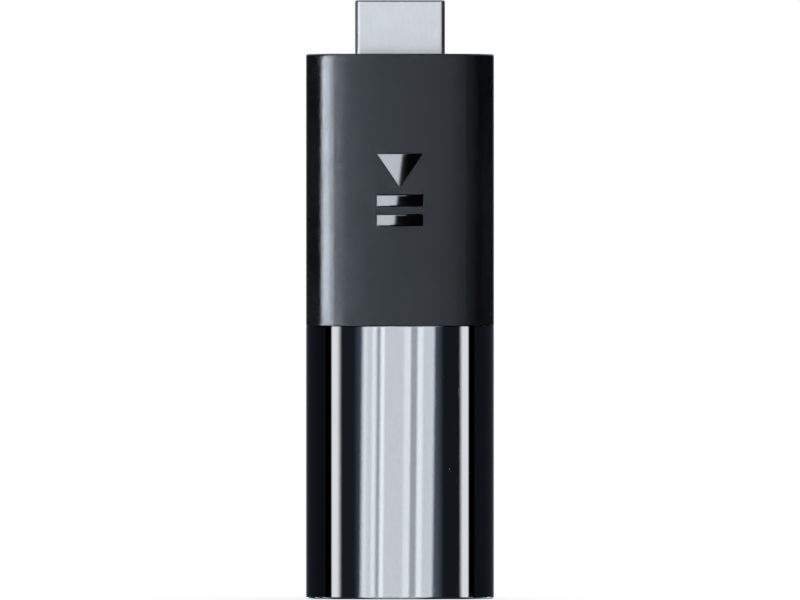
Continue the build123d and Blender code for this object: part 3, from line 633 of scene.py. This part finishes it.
# tints of the light
COOL = (0.907, 0.97, 1.049)
NEUTRAL = (0.95, 0.985, 1.025)
BLUE = (0.74, 0.93, 1.25)
SLATE = (0.79, 0.905, 1.02)
KEY = (0.84, 0.92, 1.0)
LAMP = (0.86, 0.94, 1.0)

# the pieces that have lights of their own
SLEEVE = ["sleeve_skin"]
INLAYS = ["emblem_triangle", "emblem_upper_bar", "emblem_lower_bar"]
MATTE = ["front_cover", "rear_cover"]
OTHERS = [name for name in nodes if name not in MATTE + ["gloss_sleeve", "front_emblem"]]


def card(start, end, level, soft=4.0, soft_end=None, tint=COOL):
    """A light card on a ring: where it starts and ends in degrees, its brightness, how wide its edges blend.

    Degrees run round the object from 0 straight in front (-Y) to 90 at +X; an end past 180 wraps round.
    A negative brightness darkens the card under it.
    """
    return start, end, level, soft, soft_end or soft, Vector(tint)


def ramp(distance, width):
    """Rises smoothly from 0 to 1 over the given width, centred on zero."""
    t = max(0.0, min(1.0, distance / width + 0.5))
    return t * t * (3 - 2 * t)


def light_at(degree, cards):
    """Colour and brightness that the cards give in one direction."""
    total = Vector((0, 0, 0))
    for start, end, level, soft, soft_end, tint in cards:
        for turned in (degree, degree + 360):
            total += tint * level * ramp(turned - start, soft) * ramp(end - turned, soft_end)
    return total


def stage_mesh(name, points, faces, material):
    """A mesh that belongs to the studio and not to the product."""
    mesh = bpy.data.meshes.new(name)
    mesh.from_pydata(points, [], faces)
    mesh.materials.append(material)
    made = bpy.data.objects.new(name, mesh)
    scene.collection.objects.link(made)
    return made


def hide_from(made, *kinds):
    """Makes an object invisible to some kinds of light ray."""
    for kind in kinds:
        setattr(made, "visible_" + kind, False)


def only_on(light, *names):
    """Limits a light or ring to some pieces."""
    group = bpy.data.collections.new(light.name + "_receivers")
    for name in names:
        group.objects.link(bpy.data.objects[name])
    light.light_linking.receiver_collection = group


def glowing_paper(name):
    """Material of a ring: its own colours as light, clear to everything behind it."""
    s = Shader(name)
    colours = s.add("Attribute", {"attribute_name": "glow"})
    glow = s.add("Emission", Color=colours.outputs["Color"])
    s.owner.cycles.emission_sampling = "NONE"
    return s.show(s.both(glow, s.add("BsdfTransparent")))


def studio_ring(name, radius, low, high, cards, receivers, rows=1, step=1.0, lean=None, top_level=1.0):
    """A cylinder of light cards round the object, seen only in reflections.

    lean(z) turns the cards by so many degrees at height z; top_level is the brightness at the upper edge
    relative to the lower edge.
    """
    columns = round(360 / step)
    lights = [light_at(-180 + step * j, cards) for j in range(columns + 1)]
    points, glow, faces = [], [], []
    for k in range(rows + 1):
        z = low + (high - low) * k / rows
        fade = 1.0 + (top_level - 1.0) * k / rows
        for j, light in enumerate(lights):
            a = math.radians(-180 + step * j + (lean(z) if lean else 0.0))
            points.append((radius * math.sin(a), -radius * math.cos(a), z))
            glow += [*(light * fade), 1.0]
    for k in range(rows):
        for j in range(columns):
            a = k * (columns + 1) + j
            faces.append((a, a + 1, a + columns + 2, a + columns + 1))
    ring = stage_mesh(name, points, faces, glowing_paper(name))
    ring.data.color_attributes.new("glow", "FLOAT_COLOR", "POINT").data.foreach_set("color", glow)
    hide_from(ring, "camera", "diffuse", "shadow", "volume_scatter", "transmission")
    only_on(ring, *receivers)


def leaning(degrees_per_mm, centre_z, most):
    """A lean that grows with height from centre_z, up to a limit either way."""
    return lambda z: max(-most, min(most, degrees_per_mm * (z - centre_z) / MM))


def lamp(name, azimuth_deg, power, elevation_deg=50, distance=1.5, size=1.0):
    """A square studio lamp aimed at the middle of the object, lighting only its matte covers."""
    data = bpy.data.lights.new(name, "AREA")
    data.size = size
    data.energy = power
    data.color = LAMP
    made = bpy.data.objects.new(name, data)
    a, e = math.radians(azimuth_deg), math.radians(elevation_deg)
    back = Vector((math.sin(a) * math.cos(e), -math.cos(a) * math.cos(e), math.sin(e)))
    made.location = MIDDLE + back * distance
    made.rotation_mode = "QUATERNION"
    made.rotation_quaternion = back.to_track_quat("Z", "Y")
    hide_from(made, "camera")
    scene.collection.objects.link(made)
    only_on(made, *MATTE)


# heights in metres on a ring: upright faces mirror what is above LEVEL_LOW to a level camera, what is above
# EYE_LOW to a camera a few degrees up, and what is further down to a high camera
EYE_LOW, EYE_HIGH = -0.09, 0.26
LEVEL_LOW = -0.016
FAR_LOW, FAR_HIGH = -2.5, 0.9
MATTE_FLOOR = -0.17  # the matte covers blur what they mirror, so their rings at eye level reach further down

# rings that share a height have different radii, since two coinciding rings would hide each other

# the glossy sleeve: two narrow strips, and between them a wide creased sheet
STRIPS = [
    card(-27.8, -18.5, 17.6, 6.0, 1.8, NEUTRAL),
    card(18.6, 28.0, 17.6, 1.4, 6.0, NEUTRAL),
    card(-20.0, -9.0, 0.27, 3.0, tint=BLUE),
    card(-13.0, -10.0, 1.3, 2.6, 1.0, BLUE),
    card(10.0, 12.0, 1.9, 1.0, 3.2, BLUE),
    card(9.0, 20.0, 0.21, 3.0, tint=BLUE),
    card(50.0, 190.0, 0.14, 10.0, 20.0, BLUE),
    card(170.0, 310.0, 0.12, 20.0, 6.0, BLUE),
]
SHEET = [
    card(-11.6, 10.3, 14.6, 1.5, 1.3),
    card(-11.0, -10.2, 1.6, 0.8),
    card(-8.6, -7.5, 4.6, 0.8),
    card(-7.1, -6.2, -6.0, 0.6),
    card(-5.9, -4.8, 6.6, 0.8),
    card(1.1, 3.1, 4.0, 1.2, 0.6),
    card(3.2, 5.0, -6.0, 0.7),
    card(5.3, 6.9, 5.2, 0.7, 1.0),
]
SLEEVE_SIDES = [
    card(62.0, 76.0, 3.8, 5.0, 6.0),
    card(70.0, 290.0, 0.5, 8.0),
    card(110.0, 136.0, 2.2, 14.0),
    card(164.0, 189.0, 2.6, 5.0, 9.0),
    card(224.0, 250.0, 2.2, 14.0),
    card(284.0, 298.0, 3.8, 6.0, 5.0),
]
SLEEVE_BELOW = [
    card(0.0, 360.0, 0.5, tint=BLUE),
    card(-64.0, -51.0, 9.0, 4.0, 6.0),
    card(-51.0, -36.0, 2.4, 6.0, 8.0),
    card(-12.0, 8.0, 8.5, 3.0),
    card(34.0, 46.0, 5.5),
    card(84.0, 98.0, 3.0, 3.0),
    card(108.0, 127.0, 8.5, 12.0, 3.0),
    card(127.0, 150.0, 1.2, 5.0),
    card(200.0, 213.0, 6.5, 5.0, 8.0),
    card(265.0, 276.0, 8.0, 4.0, 2.0),
]
SHEET_LEAN = leaning(0.013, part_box("gloss_sleeve")[1].z / 2, 3.0)
studio_ring("sleeve_strips", 1.0, EYE_LOW, EYE_HIGH, STRIPS, SLEEVE, step=0.25)
studio_ring("sleeve_sheet", 1.01, EYE_LOW, EYE_HIGH, SHEET, SLEEVE, 40, 0.125, SHEET_LEAN)
studio_ring("sleeve_sides", 1.02, EYE_LOW, LEVEL_LOW, SLEEVE_SIDES, SLEEVE, 8, top_level=0.0)
studio_ring("sleeve_below", 1.0, FAR_LOW, EYE_LOW, SLEEVE_BELOW, SLEEVE)

# the mirror inlays: pale on the left, dark on the right, divided by a leaning edge
EMBLEM_FRONT = [
    card(-75.0, -0.5, 0.61, 90.0, 0.2),
    card(95.0, 300.0, 0.3, 40.0, 90.0),
]
EMBLEM_BELOW = [
    card(-100.0, -20.0, 0.6, 100.0, 16.0),
    card(48.0, 150.0, 0.6, 20.0, 80.0),
    card(150.0, 260.0, 0.3, 80.0, 100.0),
]
# where the camera sees the symbol's middle mirrored on a ring about a metre away
EMBLEM_MIDDLE = middle_of("front_emblem").z
MIRRORED_MIDDLE = EMBLEM_MIDDLE + (EMBLEM_MIDDLE - MIDDLE.z) / CAMERA_DISTANCE
INLAY_LEAN = leaning(0.1685, MIRRORED_MIDDLE, 2.5)
studio_ring("emblem_front", 0.96, EYE_LOW, 0.16, EMBLEM_FRONT, INLAYS, 60, 0.1, INLAY_LEAN)
studio_ring("emblem_below", 0.96, FAR_LOW, EYE_LOW, EMBLEM_BELOW, INLAYS)

# plug, port and all the parts inside
METAL_CARDS = [
    card(-51.0, -6.0, 1.6, 6.0, 4.0),
    card(-6.0, 36.5, 1.0, 4.0, 11.0),
    card(135.0, 230.0, 0.5, 30.0, 60.0),
    card(230.0, 308.0, 0.12, 60.0, 6.0),
]
METAL_ABOVE = [card(0.0, 360.0, 0.2)]
studio_ring("metal_cards", 0.92, FAR_LOW, EYE_HIGH, METAL_CARDS, OTHERS)
studio_ring("metal_above", 0.92, EYE_HIGH, FAR_HIGH, METAL_ABOVE, OTHERS)

# the matte covers: a soft fill in front, and one strong key from the left for the front half only
KEY_CARDS = [
    card(-63.5, -34.0, 16.3, 13.0, 30.0, KEY),
    card(-45.0, -17.0, 1.2, 20.0, 14.0, SLATE),
]
REAR_CARDS = [
    card(130.0, 230.0, 1.0, 40.0, tint=SLATE),
]
FILL_CARDS = [
    card(-40.0, 18.5, 0.98, 40.0, 26.0, SLATE),
    card(-40.0, 50.0, 0.25, 40.0, 50.0, SLATE),
]
MATTE_SIDES = [
    card(80.0, 280.0, 2.4, 20.0, tint=SLATE),
]
MATTE_BELOW = [
    card(0.0, 360.0, 0.5, tint=SLATE),
    card(-70.0, 30.0, 0.8, 50.0, 60.0, SLATE),
    card(95.0, 215.0, 0.8, 30.0, 40.0, SLATE),
]
MATTE_ABOVE = [
    card(0.0, 360.0, 0.8, tint=SLATE),
]
studio_ring("matte_key", 1.03, MATTE_FLOOR, EYE_HIGH, KEY_CARDS, ["front_cover"])
studio_ring("matte_rear", 1.05, MATTE_FLOOR, EYE_HIGH, REAR_CARDS, ["rear_cover"])
studio_ring("matte_fill", 1.04, MATTE_FLOOR, EYE_HIGH, FILL_CARDS, MATTE)
studio_ring("matte_sides", 1.06, MATTE_FLOOR, LEVEL_LOW, MATTE_SIDES, MATTE, 8, top_level=0.0)
studio_ring("matte_below", 1.04, FAR_LOW, MATTE_FLOOR, MATTE_BELOW, MATTE)
studio_ring("matte_above", 1.04, EYE_HIGH, FAR_HIGH, MATTE_ABOVE, MATTE)
lamp("left_soft", -20, 5.0)
lamp("right_rim", 150, 6.5)
lamp("left_rim", -150, 6.5)


def floor_paint():
    """White to the camera apart from a soft shadow, and dark to every other ray."""
    shadow_share = 0.3
    s = Shader("floor_paint")
    lit = s.add("BsdfDiffuse", Color=colour((shadow_share, shadow_share, shadow_share)))
    glow = s.add("Emission", Color=colour((1.0, 1.0, 1.0)), Strength=1.0 - shadow_share)
    dim = s.add("BsdfDiffuse", Color=colour((0.05, 0.05, 0.05)))
    return s.show(s.for_camera(s.both(lit, glow), dim))


def pale_floor(half=6.0, drop=0.02 * MM):
    """A plain floor just under the object."""
    z = cad_low.z - drop
    corners = [(-half, -half, z), (half, -half, z), (half, half, z), (-half, half, z)]
    made = stage_mesh("floor", corners, [(0, 1, 2, 3)], floor_paint())
    hide_from(made, "glossy", "diffuse", "transmission")


def floor_sun(power=1.03 * math.pi, width_deg=70, tilt_deg=(-8, 6, 0)):
    """A wide sun that lights only the floor, so that the object's shadow on it is soft."""
    data = bpy.data.lights.new("floor_sun", "SUN")
    data.energy = power
    data.angle = math.radians(width_deg)
    made = bpy.data.objects.new("floor_sun", data)
    made.rotation_euler = [math.radians(angle) for angle in tilt_deg]
    scene.collection.objects.link(made)
    only_on(made, "floor")


def studio_world():
    """White to the camera; otherwise nearly dark, and a little brighter behind the object."""
    world = bpy.data.worlds.new("studio")
    scene.world = world
    s = Shader("studio", world)
    parts = s.add("SeparateXYZ", Vector=s.place.outputs["Generated"])
    strength = s.span(parts.outputs["Y"], 0.75, 1.0, 0.0015, 0.20)
    room = s.add("Background", Color=colour((0.93, 0.97, 1.0)), Strength=strength)
    white = s.add("Background", Color=colour((1.0, 1.0, 1.0)))
    s.show(s.for_camera(white, room))


def straight_camera(view_height=0.0927, lower=0.07 * MM, sensor=36.0, frame_shape=0.75):
    """Straight on with a long lens; at the object, the frame is view_height metres high."""
    data = bpy.data.cameras.new("camera")
    data.sensor_width = sensor
    data.lens = sensor * frame_shape * CAMERA_DISTANCE / view_height
    data.clip_start = 0.05
    data.clip_end = 100
    made = bpy.data.objects.new("camera", data)
    made.location = (0.0, -CAMERA_DISTANCE, MIDDLE.z - lower)
    made.rotation_euler = (math.radians(90), 0, 0)
    scene.collection.objects.link(made)
    scene.camera = made


pale_floor()
floor_sun()
studio_world()
straight_camera()
